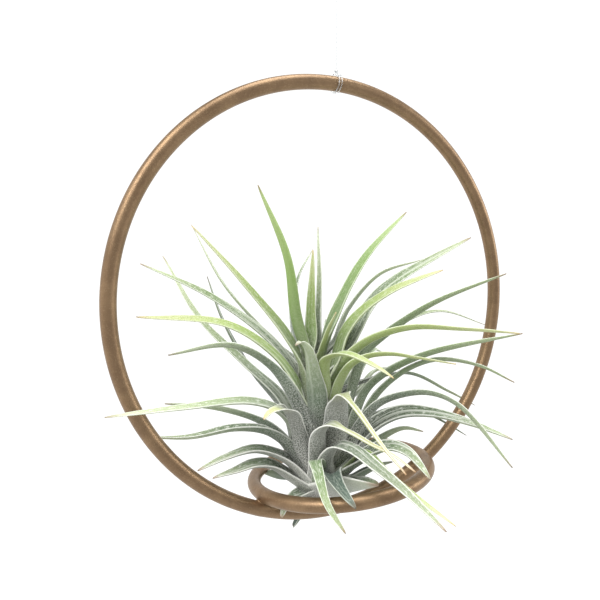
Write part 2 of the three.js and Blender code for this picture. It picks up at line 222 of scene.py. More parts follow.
def overhand_knot(name, centre, size):
    """A small pulled-tight overhand knot: a trefoil of the line."""
    turn = np.linspace(0, 2 * math.pi, KNOT_STEPS + 1)[:-1]
    path = np.stack([
        np.sin(turn) + 2 * np.sin(2 * turn),
        np.sin(3 * turn) * KNOT_DEPTH,
        np.cos(turn) - 2 * np.cos(2 * turn),
    ], axis=1) * (size - LINE / 2) / TREFOIL_REACH + centre
    points, faces = tube(path, LINE / 2, KNOT_SIDES, closed=True)
    return mesh_object(name, points, faces, nylon)


wrap_radius = ROD / 2 + GAP + LINE / 2
knot_height = wrap_radius - ROD / 2 + KNOT_RADIUS
line_foot = knot_height + KNOT_RADIUS + GAP
loop_foot = line_foot + LINE_RISE

# The windings lie on the rod, a pitch apart
turns = np.linspace(0, 1, STEPS_A_TURN * WRAP_TURNS + 1)
angle = turns * WRAP_TURNS * 2 * math.pi
windings = thread("line_windings", np.stack([
    (turns - 0.5) * WRAP_PITCH * WRAP_TURNS,
    np.sin(angle) * wrap_radius,
    np.cos(angle) * wrap_radius - ROD / 2,
], axis=1))
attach(windings, "root")

hoop_knot = overhand_knot("line_knot", (0, 0, knot_height), KNOT_RADIUS)
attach(hoop_knot, "root")
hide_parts("line_wrap")
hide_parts("line_wrap")

# The line itself: straight up, round the loop and back to the knot that ties it
rise = [(0, 0, line_foot + part * LINE_RISE) for part in (0, 0.25, 0.5, 0.75, 0.95)]
loop_spots = [
    (0, 0), (0.8, 0.3), (1, 0.65), (0.6, 0.93), (0, 1),
    (-0.6, 0.93), (-1, 0.65), (-0.8, 0.3), (-0.2, 0.04),
]
loop = [(x * LOOP_HALF, 0, loop_foot + z * LOOP_HEIGHT) for x, z in loop_spots]
route = smooth_path(rise + loop, LINE_STEPS)
line = thread("hanging_thread", route)
top_knot = overhand_knot("loop_knot", (0, 0, loop_foot), KNOT_RADIUS)
for piece in (line, top_knot):
    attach(piece, "root")
    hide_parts("hanging_line")

# ---------------------------------------------------------------------------
# Hoop
# A closed ring of 3/16 inch round steel rod, rolled to 6 inches and welded
# shut, then sprayed with gold-bronze paint. It stands upright.

HOOP_OUTER = 152.4 * MM
ROD_STEP = 0.9 * MM
ROD_SIDES = 28
ROD_WAVER = 0.03 * MM
hoop_middle = Vector((0, 0, -HOOP_OUTER / 2))
hoop_radius = (HOOP_OUTER - ROD) / 2

# Metallic paint: bronze flakes in a brown binder, sprayed in soft clouds 7 mm
# across that dry with a grain of 0.45 mm. The flakes differ in brightness, gloss
# and height, so the coat glitters where it shines. They lie 0.3 mm apart, about
# ten times as coarse as real ones, so that they show.
gold_bronze = new_material("gold-bronze metallic paint")
tree = gold_bronze.node_tree
where = add(tree, "TexCoord").outputs["Object"]
cloud = add(tree, "TexNoise", {"Vector": where, "Scale": 1 / (7 * MM), "Detail": 4, "Roughness": 0.6})
tone = add(tree, "MapRange", {"Value": cloud.outputs["Fac"], "From Min": 0.35, "From Max": 0.68})
coat = add(tree, "MixRGB", {
    "Fac": tone.outputs["Result"], "Color1": linear("#7e664d"), "Color2": linear("#91775a"),
})
flakes = add(tree, "TexVoronoi", {"Vector": where, "Scale": 1 / (0.3 * MM)})
flake = add(tree, "SeparateColor", {"Color": flakes.outputs["Color"]})
glint = add(tree, "MapRange", {
    "Value": flake.outputs["Red"], "From Min": 0.8, "From Max": 1.0, "To Max": 0.1,
})
speckled = add(tree, "MixRGB", {
    "Fac": glint.outputs["Result"], "Color1": coat.outputs["Color"], "Color2": linear("#dac49c"),
})
dull = add(tree, "MapRange", {"Value": flake.outputs["Green"], "To Min": 0.36, "To Max": 0.48})
grain = add(tree, "TexNoise", {"Vector": where, "Scale": 1 / (0.45 * MM), "Detail": 3})
uneven = add(tree, "Math", {0: grain.outputs["Fac"], 1: flake.outputs["Blue"]}, operation="ADD")
bump = add(tree, "Bump", {"Height": uneven.outputs[0], "Distance": 0.03 * MM, "Strength": 0.3})
shader = add(tree, "BsdfPrincipled", {
    "Base Color": speckled.outputs["Color"],
    "Metallic": 0.75,
    "Roughness": dull.outputs["Result"],
    "Normal": bump.outputs["Normal"],
})
add(tree, "OutputMaterial", {"Surface": shader.outputs["BSDF"]})


def rod_ring(name, place, radius):
    """A ring of the painted rod round Z, then put in its place. Rolled rod is
    never quite round, so its radius wavers a little."""
    steps = int(2 * math.pi * radius / ROD_STEP)
    around = np.linspace(0, 2 * math.pi, steps + 1)[:-1]
    bent = radius + ROD_WAVER * (np.sin(3 * around + 0.6) + 0.6 * np.sin(5 * around + 2))
    path = np.stack([bent * np.cos(around), bent * np.sin(around), 0 * around], axis=1)
    points, faces = tube(path, ROD / 2, ROD_SIDES, closed=True)
    obj = mesh_object(name, points, faces, gold_bronze)
    obj.data.transform(place)
    return obj


hoop_place = Matrix.Translation(hoop_middle) @ Matrix.Rotation(math.pi / 2, 4, "X")
hoop = rod_ring("painted_hoop", hoop_place, hoop_radius)
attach(hoop, "root")
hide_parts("hoop")

# ---------------------------------------------------------------------------
# Small ring
# The same rod, bent to a 2.5 inch ring. It lies nearly level inside the foot
# of the hoop and carries the plant.

CRADLE_MID = 63.5 * MM
# From the hoop's middle, in millimetres, and its two small tilts, in degrees
CRADLE_AT = Vector((4.9, 4.4, -62.2))
CRADLE_NOD, CRADLE_LEAN = -6.8, -4
cradle_place = (
    Matrix.Translation(hoop_middle + CRADLE_AT * MM)
    @ Matrix.Rotation(math.radians(CRADLE_NOD), 4, "X")
    @ Matrix.Rotation(math.radians(CRADLE_LEAN), 4, "Y")
)
small_ring = rod_ring("painted_small_ring", cradle_place, CRADLE_MID / 2)
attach(small_ring, "root")
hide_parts("cradle_ring")

# ---------------------------------------------------------------------------
# Welds
# Where the small ring meets the hoop, left and right, a bead of weld metal
# fills the corners between the two rods. It is under the same paint.

HOOP_PLACES = 720
RING_PLACES = 360
# Each rod swells a little at the weld. The swelling sinks into the rod 2 mm away
# and ends 4 mm away.
WELD_REACH = 4 * MM
WELD_SWELL = 0.08 * MM
WELD_TAPER = 0.32 * MM
WELD_SIDES = 20
BEAD_STEP = 0.8 * MM
BEAD_RADII = (0.8 * MM, 1.2 * MM, 0.8 * MM)
BEAD_SIDES = 16
MELT_GRAIN = 0.22 * MM
# In metres, more than any distance between the two rings
OUT_OF_REACH = 1


def ring_path(place, radius, count):
    """Evenly spaced places along the middle of a ring."""
    around = np.linspace(0, 2 * math.pi, count + 1)[:-1]
    return np.array([
        place @ Vector((radius * math.cos(a), radius * math.sin(a), 0)) for a in around
    ])


def weld(name, node, side):
    """Short swellings of both rods and a bead between them, melted together."""
    on_hoop = ring_path(hoop_place, hoop_radius, HOOP_PLACES)
    on_small = ring_path(cradle_place, CRADLE_MID / 2, RING_PLACES)
    far = np.linalg.norm(on_hoop[:, None] - on_small[None], axis=2)
    far[np.sign(on_hoop[:, 0]) != side] = OUT_OF_REACH
    i, j = np.unravel_index(far.argmin(), far.shape)
    tubes = []
    for path, at, pitch in (
        (on_hoop, i, hoop_radius / HOOP_PLACES), (on_small, j, CRADLE_MID / 2 / RING_PLACES),
    ):
        reach = int(WELD_REACH / (2 * math.pi * pitch))
        span = np.arange(-reach, reach + 1)
        swell = ROD / 2 + WELD_SWELL - WELD_TAPER * (span / reach) ** 2
        tubes.append((path[(at + span) % len(path)], swell, WELD_SIDES))
    centre = (on_hoop[i] + on_small[j]) / 2
    bead = [centre + k * BEAD_STEP * np.array((1, 0, 0)) for k in (-1, 0, 1)]
    tubes.append((bead, BEAD_RADII, BEAD_SIDES))
    points, faces = [], []
    for path, radii, sides in tubes:
        more, rows = tube(path, radii, sides)
        faces += [tuple(len(points) + k for k in face) for face in rows]
        points += more
    obj = mesh_object(name, points, faces, gold_bronze)
    melt = obj.modifiers.new("melt", "REMESH")
    melt.mode = "VOXEL"
    melt.voxel_size = MELT_GRAIN
    melt.use_smooth_shade = True
    soften = obj.modifiers.new("soften", "SMOOTH")
    soften.factor = 0.5
    soften.iterations = 14
    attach(obj, "root")
    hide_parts(node)


weld("painted_weld_left", "weld_left", -1)
weld("painted_weld_right", "weld_right", 1)

# ---------------------------------------------------------------------------
# Stem
# The short woody stem of the plant, wrapped in the dry bases of shed leaves,
# which overlap like the scales of a cone. The living leaves hide most of it.

# Height and radius of the stem with its wrapping, in the plant's millimetres
STEM_OUTLINE = ((-7, 2.2), (-3, 5.2), (3, 7), (20, 6.6), (45, 2.3))
STEM_FOOT, STEM_TOP = -7, 47
STEM_LEVELS = 150
STEM_SIDES = 96
# The top is a dome 3 mm high, cut flat 0.6 mm below its peak
DOME_HEIGHT, DOME_CUT = 3, 0.6
SCALE_ROWS = 9
SCALES_ROUND = 7
SCALE_PITCH = 5.2
SCALE_LENGTH = 8.5
# Scales spread to pi would just meet round the stem, and these overlap
SCALE_SPREAD = 3.9
# In parts of the stem's radius: its core, and how far a scale's upper edge
# stands off it. The lower edge stands off a quarter as far.
CORE_SHARE, SCALE_STAND = 0.88, 0.1
SCALE_FOOT = 0.25
# From the hoop's middle, in millimetres, and its turn about Z, in degrees
PLANT_AT = Vector((-3.3, 8.6, -66))
PLANT_TURN = -28.7
plant_place = (
    Matrix.Translation(hoop_middle + PLANT_AT * MM)
    @ Matrix.Rotation(math.radians(PLANT_TURN), 4, "Z")
)

# Dry leaf fibre: matt grey-brown, with fine upright threads 0.4 mm apart and
# 4 mm long.
dry_stem = new_material("dry leaf fibre")
tree = dry_stem.node_tree
where = add(tree, "TexCoord").outputs["Object"]
stretched = add(tree, "Mapping", {
    "Vector": where, "Scale": (1 / (0.4 * MM), 1 / (0.4 * MM), 1 / (4 * MM)),
})
threads = add(tree, "TexNoise", {"Vector": stretched.outputs["Vector"], "Scale": 1, "Detail": 4})
fibre = add(tree, "ValToRGB", {"Fac": threads.outputs["Fac"]})
fibre.color_ramp.elements[0].position = 0.35
fibre.color_ramp.elements[0].color = linear("#55574a")
fibre.color_ramp.elements[1].position = 0.68
fibre.color_ramp.elements[1].color = linear("#8d8f7e")
bump = add(tree, "Bump", {"Height": threads.outputs["Fac"], "Distance": 0.2 * MM, "Strength": 0.6})
shader = add(tree, "BsdfPrincipled", {
    "Base Color": fibre.outputs["Color"], "Roughness": 0.9, "Normal": bump.outputs["Normal"],
})
add(tree, "OutputMaterial", {"Surface": shader.outputs["BSDF"]})


def stem_radius_at(height):
    """The stem's radius at a height, in the plant's millimetres."""
    return np.interp(height, *zip(*STEM_OUTLINE))


heights, angles = np.meshgrid(
    np.linspace(STEM_FOOT, STEM_TOP, STEM_LEVELS),
    np.linspace(0, 2 * math.pi, STEM_SIDES + 1)[:-1],
    indexing="ij",
)
dome = np.clip((STEM_TOP + DOME_CUT - heights) / DOME_HEIGHT, 0, 1) ** 0.5
core = stem_radius_at(heights) * dome
raised = 0 * heights
for row in range(SCALE_ROWS):
    for k in range(SCALES_ROUND):
        low = STEM_FOOT + SCALE_PITCH * row
        middle = 2 * math.pi * (k + 0.5 * (row % 2)) / SCALES_ROUND
        aside = np.abs((angles - middle + math.pi) % (2 * math.pi) - math.pi)
        aside = aside * SCALES_ROUND / SCALE_SPREAD
        up = (heights - low) / SCALE_LENGTH
        inside = (aside < 1) & (up > 0) & (up < np.sqrt(np.clip(1 - aside ** 2, 0, 1)))
        raised = np.where(inside, np.maximum(raised, SCALE_FOOT + (1 - SCALE_FOOT) * up), raised)
girth = core * CORE_SHARE + raised * SCALE_STAND * core
points = np.stack([girth * np.cos(angles), girth * np.sin(angles), heights], axis=2).reshape(-1, 3) * MM
stem = mesh_object("woody_stem", points, ring_faces(STEM_LEVELS, STEM_SIDES), dry_stem)
stem.data.transform(plant_place)
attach(stem, "root")
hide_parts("stem")

# ---------------------------------------------------------------------------
# Young upright leaves
# Living leaves of the plant, narrow and channelled, that clasp the stem with
# a broad base and end in a fine point. These are the youngest, in the middle,
# most of them greener than the rest because few scales cover them yet.

# In the plant's millimetres
LEAF_BUTT = 1.1
LEAF_GAP = 0.3
SHEATH_DEPTH = 11.0
SHEATH_FADE = 9
# The foot flares by 0.45 of the width, and by 0.1 on leaves that start high up
FLARE, FLARE_LESS = 0.45, 0.35
FLARE_FADE = 17
HIGH_FROM, HIGH_OVER = 18, 20
LEAST_HALF = 0.07
# Thickness of the point, and how much more the foot has, on a leaf 5 mm wide
POINT_THICK, FOOT_THICKER = 0.35, 0.95
USUAL_WIDTH = 5
MOST_THICKER = 1.25
ROW_PITCH, DASH_LENGTH = 0.55, 1.8
RIB_PITCH, RIB_LENGTH = 1.1, 60
GRAIN = 0.4

# Rings along a blade and points across it, and how sharp its keel is
LEAF_STEPS = 96
LEAF_SIDE = 13
LEAF_KEEL = 0.3
# How far round its sheath is cupped, in degrees
SHEATH_CUP = 118
# The sheath's lower end lies just inside the stem, at this share of its radius
SHEATH_SHARE = 0.95
# Each edge keeps a fifth of the thickness of the middle
EDGE_THIN = 0.96
# How the width and the thickness run out to the point
BLADE_TAPER, THICK_TAPER = 0.62, 0.8
# How much its width and its roll waver, and over how many radians of a sine
WIDTH_WAVER, WIDTH_RADIANS = 0.03, 19
ROLL_WAVER, ROLL_RADIANS = 0.08, 7
# In parts of the blade's length: where its roll is full, and how far from a
# fold it narrows and flattens. At the fold 0.88 of its cup is gone.
ROLL_FULL = 0.3
NARROW_HALF = 0.07
CREST_HALF, CREST_FLAT = 0.08, 0.88
# The darkest leaf's brightness, and how much brighter the palest is
SHADE_LEAST, SHADE_MORE = 0.93, 0.14


def ease(x):
    """A smooth step from 0 to 1."""
    x = np.clip(x, 0, 1)
    return x * x * (3 - 2 * x)


def leaf_skin(name, outer, inner, point, scales, felt, lines, rim, rough):
    """Leaf skin under pale scales. The outer and the inner face each have their
    colours from the foot to the point. The inner face is darker, most of all at
    the foot: partly the leaf's own deeper green, partly painted shade inside the
    channel and between the leaves. The scales are a felt of 0.4 mm grains,
    thickest at the foot, dashes in lengthwise rows 0.55 mm apart and ribs 1.1 mm
    apart, more of both inside, and a rim along each edge. Grains and rows are
    drawn twice as coarse as real ones, so that they show. The point is dry."""
    skin = new_material(name)
    tree = skin.node_tree
    along = add(tree, "Attribute", attribute_name="along").outputs["Fac"]
    across = add(tree, "Attribute", attribute_name="across").outputs["Fac"]
    under = add(tree, "Attribute", attribute_name="under").outputs["Fac"]
    shade = add(tree, "Attribute", attribute_name="shade").outputs["Fac"]
    dry = add(tree, "Attribute", attribute_name="dry").outputs["Fac"]
    spread = add(tree, "UVMap", uv_map="skin_mm").outputs["UV"]

    faces = []
    for colours in (inner, outer):
        ground = add(tree, "ValToRGB", {"Fac": along})
        stops = ground.color_ramp.elements
        while len(stops) < len(colours):
            stops.new(0.5)
        for stop, (at, colour) in zip(stops, colours):
            stop.position = at
            stop.color = linear(colour)
        faces.append(ground.outputs["Color"])
    ground = add(tree, "MixRGB", {"Fac": under, "Color1": faces[0], "Color2": faces[1]})
    varied = add(tree, "HueSaturation", {"Value": shade, "Color": ground.outputs["Color"]})

    long_way = add(tree, "Mapping", {"Vector": spread, "Scale": (1 / ROW_PITCH, 1 / DASH_LENGTH, 1)})
    rows = add(tree, "TexNoise", {
        "Vector": long_way.outputs["Vector"], "Scale": 1, "Detail": 3, "Roughness": 0.7,
    })
    ribs_way = add(tree, "Mapping", {"Vector": spread, "Scale": (1 / RIB_PITCH, 1 / RIB_LENGTH, 1)})
    ribs = add(tree, "TexNoise", {"Vector": ribs_way.outputs["Vector"], "Scale": 1, "Detail": 1})
    grains = add(tree, "TexNoise", {
        "Vector": spread, "Scale": 1 / GRAIN, "Detail": 2, "Roughness": 0.6,
    })
    dash = add(tree, "MapRange", {
        "Value": rows.outputs["Fac"], "From Min": 0.52, "From Max": 0.61, "To Max": lines,
    })
    rib = add(tree, "MapRange", {
        "Value": ribs.outputs["Fac"], "From Min": 0.55, "From Max": 0.65, "To Max": lines,
    })
    line = add(tree, "Math", {0: dash.outputs[0], 1: rib.outputs[0]}, operation="MAXIMUM")
    line_here = add(tree, "MapRange", {"Value": under, "To Min": 1, "To Max": 0.35})
    grain = add(tree, "MapRange", {
        "Value": grains.outputs["Fac"], "From Min": 0.47, "From Max": 0.57, "To Max": felt,
    })
    grain_here = add(tree, "MapRange", {
        "Value": along, "From Min": 0.1, "From Max": 0.5, "To Min": 1, "To Max": 0.2,
    })
    edge = add(tree, "Math", {0: across}, operation="ABSOLUTE")
    edge_near = add(tree, "MapRange", {
        "Value": edge.outputs[0], "From Min": 0.86, "From Max": 0.95, "To Max": rim,
    })
    broken = add(tree, "MapRange", {
        "Value": rows.outputs["Fac"], "From Min": 0.3, "From Max": 0.5, "To Min": 0.55,
    })
    rim_part = add(tree, "Math", {0: edge_near.outputs[0], 1: broken.outputs[0]}, operation="MULTIPLY")
    line_part = add(tree, "Math", {0: line.outputs[0], 1: line_here.outputs[0]}, operation="MULTIPLY")
    felt_part = add(tree, "Math", {0: grain.outputs[0], 1: grain_here.outputs[0]}, operation="MULTIPLY")
    cover = add(tree, "Math", {0: line_part.outputs[0], 1: felt_part.outputs[0]}, operation="MAXIMUM")
    cover = add(tree, "Math", {0: cover.outputs[0], 1: rim_part.outputs[0]}, operation="MAXIMUM")
    scaled = add(tree, "MixRGB", {
        "Fac": cover.outputs[0], "Color1": varied.outputs["Color"], "Color2": linear(scales),
    })
    dry_from = add(tree, "Math", {0: 1.0, 1: dry}, operation="SUBTRACT")
    withered = add(tree, "MapRange", {"Value": along, "From Min": dry_from.outputs[0], "From Max": 1.0})
    colour = add(tree, "MixRGB", {
        "Fac": withered.outputs[0], "Color1": scaled.outputs["Color"], "Color2": linear(point),
    })
    height = add(tree, "Math", {0: rows.outputs["Fac"], 1: grains.outputs["Fac"]}, operation="ADD")
    bump = add(tree, "Bump", {"Height": height.outputs[0], "Distance": 0.15 * MM, "Strength": 0.6})
    shader = add(tree, "BsdfPrincipled", {
        "Base Color": colour.outputs["Color"],
        "Roughness": rough,
        "IOR": 1.45,
        "Sheen Weight": 0.1,
        "Sheen Roughness": 0.5,
        "Normal": bump.outputs["Normal"],
    })
    add(tree, "OutputMaterial", {"Surface": shader.outputs["BSDF"]})
    return skin


# In every skin the inner face is darker than the outer, most of all at the foot: partly the leaf's own
# deeper green, partly painted shade inside the channel and between the leaves.
skins = {
    # Young skin: smooth and yellow-green, with straw points
    "pale": leaf_skin(
        "young leaf skin",
        outer=((0.0, "#737d66"), (0.15, "#7e8e5c"), (0.4, "#91a45e"), (0.7, "#a5b371"), (0.95, "#c2c791")),
        inner=((0.0, "#4e593f"), (0.25, "#6e8746"), (0.6, "#8fa45b"), (0.95, "#bcc389")),
        point="#c9b487", scales="#e8ebda", felt=0.35, lines=0.3, rim=0.55, rough=0.45,
    ),
    # Fresh green skin: smooth, hardly any scales
    "fresh": leaf_skin(
        "fresh green leaf skin",
        outer=((0.0, "#6c785a"), (0.2, "#748a52"), (0.5, "#82a052"), (0.9, "#a9bf7c")),
        inner=((0.0, "#46543a"), (0.3, "#627c46"), (0.65, "#7a9653"), (0.95, "#a2b67d")),
        point="#9a8466", scales="#dfe5cf", felt=0.25, lines=0.2, rim=0.6, rough=0.45,
    ),
    # Grown green skin: a thin bloom, brown points
    "green": leaf_skin(
        "green leaf skin",
        outer=((0.0, "#6b7266"), (0.2, "#5f6e55"), (0.5, "#6c8157"), (0.9, "#97a67c")),
        inner=((0.0, "#384137"), (0.3, "#4f6048"), (0.65, "#6f8556"), (0.95, "#9fac80")),
        point="#947c61", scales="#e2e6d9", felt=0.5, lines=0.5, rim=0.8, rough=0.5,
    ),
    # Thin silvery skin: light grey-green with white ribs
    "silver": leaf_skin(
        "silvery leaf skin",
        outer=((0.0, "#6e7469"), (0.3, "#7e8a70"), (0.6, "#99a783"), (0.95, "#c0c9a8")),
        inner=((0.0, "#464f41"), (0.3, "#65745a"), (0.6, "#91a178"), (0.95, "#bcc6a1")),
        point="#a3967b", scales="#e6e9df", felt=0.45, lines=0.5, rim=0.75, rough=0.6,
    ),
    # Scaly skin: grey-green under a felt of scales
    "grey": leaf_skin(
        "scaly leaf skin",
        outer=((0.0, "#74766f"), (0.2, "#4b5248"), (0.45, "#566750"), (0.9, "#a5b38d")),
        inner=((0.0, "#272c26"), (0.3, "#343f33"), (0.65, "#5a6e4c"), (0.95, "#9aa97f")),
        point="#9b8d78", scales="#e6e8e0", felt=0.75, lines=0.65, rim=0.9, rough=0.65,
    ),
    # Felted skin of the lowest leaves: nearly white with scales at the foot
    "felted": leaf_skin(
        "felted leaf skin",
        outer=((0.0, "#8b8d87"), (0.3, "#8a8d84"), (0.6, "#8d9488"), (0.95, "#a7ae98")),
        inner=((0.0, "#2c312b"), (0.35, "#3f4b3c"), (0.6, "#6f8064"), (0.95, "#a3b08a")),
        point="#a58e79", scales="#ecede6", felt=0.8, lines=0.5, rim=0.9, rough=0.7,
    ),
    # Scaly skin of the folded leaves: grey up to the fold, pale yellow past it. Its inner face stays near
    # black up to the fold: painted shade in the hollow under the crest.
    "folded": leaf_skin(
        "folded leaf skin",
        outer=(
            (0.0, "#777973"), (0.3, "#646860"), (0.44, "#888b82"), (0.52, "#a9ae8e"), (0.62, "#bcc388"),
            (0.95, "#d4cc92"),
        ),
        inner=(
            (0.0, "#272c26"), (0.38, "#3c4338"), (0.47, "#7d836d"), (0.56, "#b2b97f"), (0.95, "#d2ca90"),
        ),
        point="#c59f78", scales="#ecede6", felt=0.8, lines=0.35, rim=0.85, rough=0.6,
    ),
    # Dark skin of the leaves low down and at the back: scattered scales, and dark colours that are partly
    # the leaves' own green and partly painted shade
    "dark": leaf_skin(
        "dark leaf skin with painted shade",
        outer=((0.0, "#5f635b"), (0.25, "#465244"), (0.6, "#4f6048"), (0.95, "#738063")),
        inner=((0.0, "#262b25"), (0.4, "#32423a"), (0.9, "#4a5d50")),
        point="#655c4d", scales="#d7dbd0", felt=0.5, lines=0.3, rim=0.65, rough=0.6,
    ),
}
# How far round each kind of blade is cupped, in degrees
openings = {
    "pale": 95, "fresh": 105, "green": 115, "silver": 125,
    "grey": 145, "felted": 135, "folded": 170, "dark": 135,
}


def grow_leaf(name, tone, width, roll, foot, spots, held=0.0, pinch=0.0, dry=0.06):
    """One leaf, in the plant's own millimetres: from its foot at that height on
    the stem, its middle runs through the spots to the point. Its sheath reaches
    down inside the leaves below. It keeps its full width along the held part. A
    folded one flattens at its crest, and past that its width shrinks by the
    pinch. The last part of it, by the share called dry, is withered."""
    stem_side = np.array([spots[0][0], spots[0][1], 0.0])
    stem_side /= np.linalg.norm(stem_side)
    start = stem_side * (stem_radius_at(foot) + LEAF_GAP + LEAF_BUTT / 2) + (0, 0, foot)
    tuck = min(SHEATH_DEPTH, foot - STEM_FOOT)
    inside = stem_side * (stem_radius_at(foot - tuck) * SHEATH_SHARE) + (0, 0, foot - tuck)
    spine = smooth_path([inside, start] + [np.array(p, float) for p in spots], LEAF_STEPS)
    gone = np.concatenate([[0], np.cumsum(np.linalg.norm(np.diff(spine, axis=0), axis=1))])
    rise = gone - tuck
    part = np.clip(rise / rise[-1], 0, 1)
    # Each leaf gets its own waver, shade and place in the patterns from its name
    seed = sum(ord(c) * (k + 3) for k, c in enumerate(name))

    # Directions along the blade, across it, and towards its inner face
    along = np.gradient(spine, axis=0)
    along /= np.linalg.norm(along, axis=1)[:, None]
    chord = spine[-1] - start
    level = np.array([-chord[1], chord[0], 0.0])
    across = level - along * (along @ level)[:, None]
    across /= np.linalg.norm(across, axis=1)[:, None]
    inward = np.cross(along, across)
    turn = math.radians(roll if chord[0] > 0 else -roll) * ease(part / ROLL_FULL)
    turn += ROLL_WAVER * np.sin(part * ROLL_RADIANS + seed) * ease(part / ROLL_FULL)
    cos, sin = np.cos(turn)[:, None], np.sin(turn)[:, None]
    across, inward = across * cos + inward * sin, inward * cos - across * sin

    # Width: it tapers past the held part and wavers, and the foot flares
    fold = part[np.argmax(spine[:, 2])] if pinch else 0.5
    blade = np.clip((1 - part) / (1 - held), 0, 1) ** BLADE_TAPER
    blade *= 1 + WIDTH_WAVER * np.sin(part * WIDTH_RADIANS + seed)
    blade *= 1 - pinch * ease((part - fold + NARROW_HALF) / (2 * NARROW_HALF))
    flare = FLARE - FLARE_LESS * ease((foot - HIGH_FROM) / HIGH_OVER)
    flare = flare * np.exp(-(np.maximum(rise, 0) / FLARE_FADE) ** 2)
    half = width / 2 * (blade + flare) + LEAST_HALF
    # Half the thickness, more on broad leaves
    thick = POINT_THICK + FOOT_THICKER * (1 - part) ** THICK_TAPER
    thick = thick * min(width / USUAL_WIDTH, MOST_THICKER) / 2
    # The cup: the sheath's at the foot, its own kind's above, nearly flat at a fold
    opening = openings[tone]
    sheath = np.exp(-(np.maximum(rise, 0) / SHEATH_FADE) ** 2)
    arc = np.radians(opening + (SHEATH_CUP - opening) * sheath)
    if pinch:
        arc *= 1 - CREST_FLAT * np.exp(-((part - fold) / CREST_HALF) ** 2)
    bend = half / np.sin(arc / 2)
    depth = bend - bend * np.cos(arc / 2)

    u = np.linspace(-1, 1, LEAF_SIDE)
    points, at_across, at_under, spread = [], [], [], []
    for i in range(LEAF_STEPS + 1):
        phi = u * arc[i] / 2
        body = thick[i] * np.sqrt(1 - EDGE_THIN * u * u)
        ridge = depth[i] * np.abs(np.sin(phi)) * bend[i] / half[i]
        keeled = LEAF_KEEL * (ridge - bend[i] * (1 - np.cos(phi)))
        for under, order in ((0, range(LEAF_SIDE)), (1, range(LEAF_SIDE)[::-1])):
            for k in order:
                r = bend[i] - (body[k] if under == 0 else -body[k])
                x = r * math.sin(phi[k])
                y = bend[i] - r * math.cos(phi[k]) + keeled[k]
                points.append(spine[i] + x * across[i] + y * inward[i])
                at_across.append(u[k])
                at_under.append(under)
                spread.append((bend[i] * phi[k] + seed % 97, gone[i] + seed % 89))
    ring = 2 * LEAF_SIDE
    faces = [tuple(range(ring)), tuple(LEAF_STEPS * ring + k for k in range(ring))[::-1]]
    for i in range(LEAF_STEPS):
        for k in range(ring):
            n = (k + 1) % ring
            faces.append((i * ring + k, (i + 1) * ring + k, (i + 1) * ring + n, i * ring + n))
    leaf = mesh_object("leaf_" + name + "_blade", np.array(points) * MM, faces, skins[tone])
    mesh = leaf.data
    whole = np.ones(len(points))
    for label, values in (
        ("along", np.repeat(np.interp(part, (0, fold, 1), (0, 0.5, 1)), ring)),
        ("across", at_across), ("under", at_under),
        ("shade", whole * (SHADE_LEAST + SHADE_MORE * (seed % 17) / 16)), ("dry", whole * dry),
    ):
        mesh.attributes.new(label, "FLOAT", "POINT").data.foreach_set("value", values)
    corners = np.zeros(len(mesh.loops), int)
    mesh.loops.foreach_get("vertex_index", corners)
    mesh.uv_layers.new(name="skin_mm").data.foreach_set("uv", np.array(spread)[corners].ravel())
    mesh.transform(plant_place)
    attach(leaf, "root")
    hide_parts("leaf_" + name)


# Each row: name, skin, width, roll in degrees, foot and spots, then where the
# leaf has them the held part, the pinch and the dry part
for row in (
    ("tall_upright", "fresh", 4.7, -50, 44,
     [(-5, -4, 52.5), (-6.8, -5.5, 62), (-9.5, -9, 82), (-18.5, -14, 105.5)]),
    ("pale_upright", "pale", 4.8, 40, 45.5, [(-1.8, -1, 53), (-1.8, 0, 64.5), (-1, 3, 84.5)]),
    ("grey_upright", "silver", 3.7, 50, 44, [(1.5, 4, 60.5), (1.5, 8, 75), (0.5, 12, 93.5)]),
    ("back_arc", "grey", 3.2, 40, 45, [(-7.5, 14, 59.5), (-8, 26, 73), (-2.5, 36, 85.5)]),
    ("right_upright", "fresh", 6, 35, 45, [(8, -1, 62), (18, 1, 81.5), (32.5, 4, 98)]),
    ("young_centre", "pale", 5.2, 30, 43, [(4.6, -7, 55), (7.5, -9.5, 63)]),
):
    grow_leaf(*row)

# ---------------------------------------------------------------------------
# Leaves of the right side
# Grown leaves that sweep up and out to the right, pale, green or silvery high up,
# and green, dark or grey with scales lower down.

